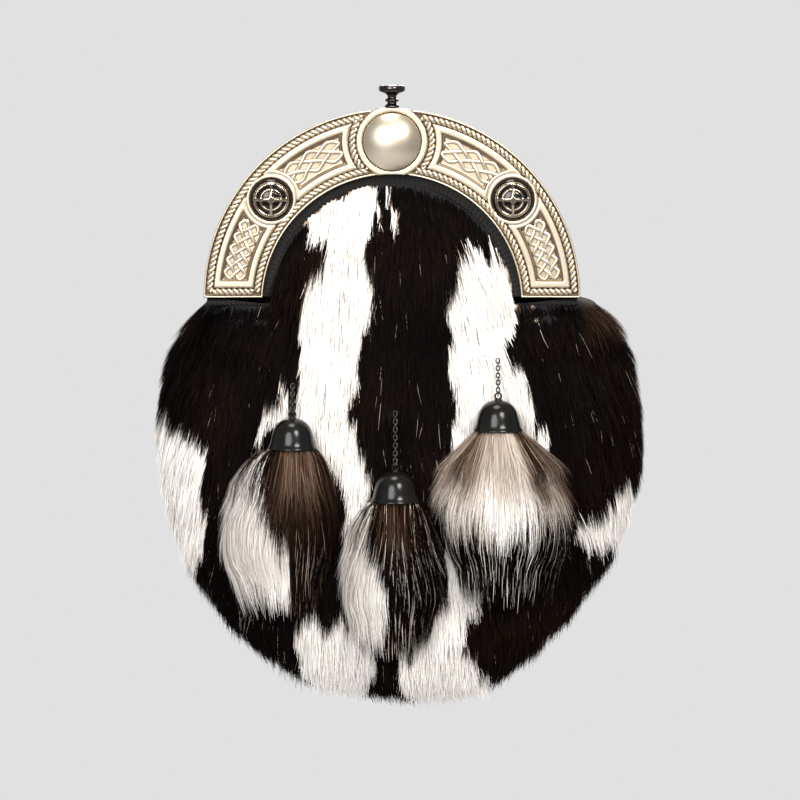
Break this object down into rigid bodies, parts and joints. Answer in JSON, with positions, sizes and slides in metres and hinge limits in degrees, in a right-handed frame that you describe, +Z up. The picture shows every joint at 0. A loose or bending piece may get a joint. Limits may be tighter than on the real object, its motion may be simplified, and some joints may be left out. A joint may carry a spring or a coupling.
{
  "type": "full-dress sporran pouch",
  "caption": "Fur-fronted dress sporran pouch with a half-round cast metal cantle, a domed centre disc and studs, a top knob and fur tassels with bell caps on chains.",
  "frame": {"origin": "on the back face, midway between the two back loops that the belt chain's strap passes through", "axes": "+Z up as it is worn, +Y out of the flat leather back, the fur front faces -Y, +X to the right seen from the front"},
  "size_m": [0.2026, 0.0666, 0.2539],
  "materials": {
    "antique_silver": "warm antique silver casting, satin on the high parts, dark in the recesses",
    "satin_disc": "smooth pearly satin",
    "dark_metal": "polished near-black plating",
    "chain_metal": "fine black chain",
    "black_leather": "black leather with a fine grain and a pinked edge",
    "pouch_fur": "hair-on hide in black-brown and cream-white patches",
    "tassel_fur": "long tassel fur, tan at the crown over black-brown and cream-white"
  },
  "bodies": {
    "root": {"cantle": "antique_silver", "centre_disc": "satin_disc", "stud_left": "dark_metal", "stud_right": "dark_metal", "knob": "dark_metal", "leather_facing": "black_leather", "pouch_front": "pouch_fur", "back_panel": "black_leather", "back_loop_left": "black_leather", "back_loop_right": "black_leather", "chain_left": "chain_metal", "chain_middle": "chain_metal", "chain_right": "chain_metal", "bell_left": "dark_metal", "bell_middle": "dark_metal", "bell_right": "dark_metal", "tassel_left": "tassel_fur", "tassel_middle": "tassel_fur", "tassel_right": "tassel_fur"}
  },
  "joints": []
}
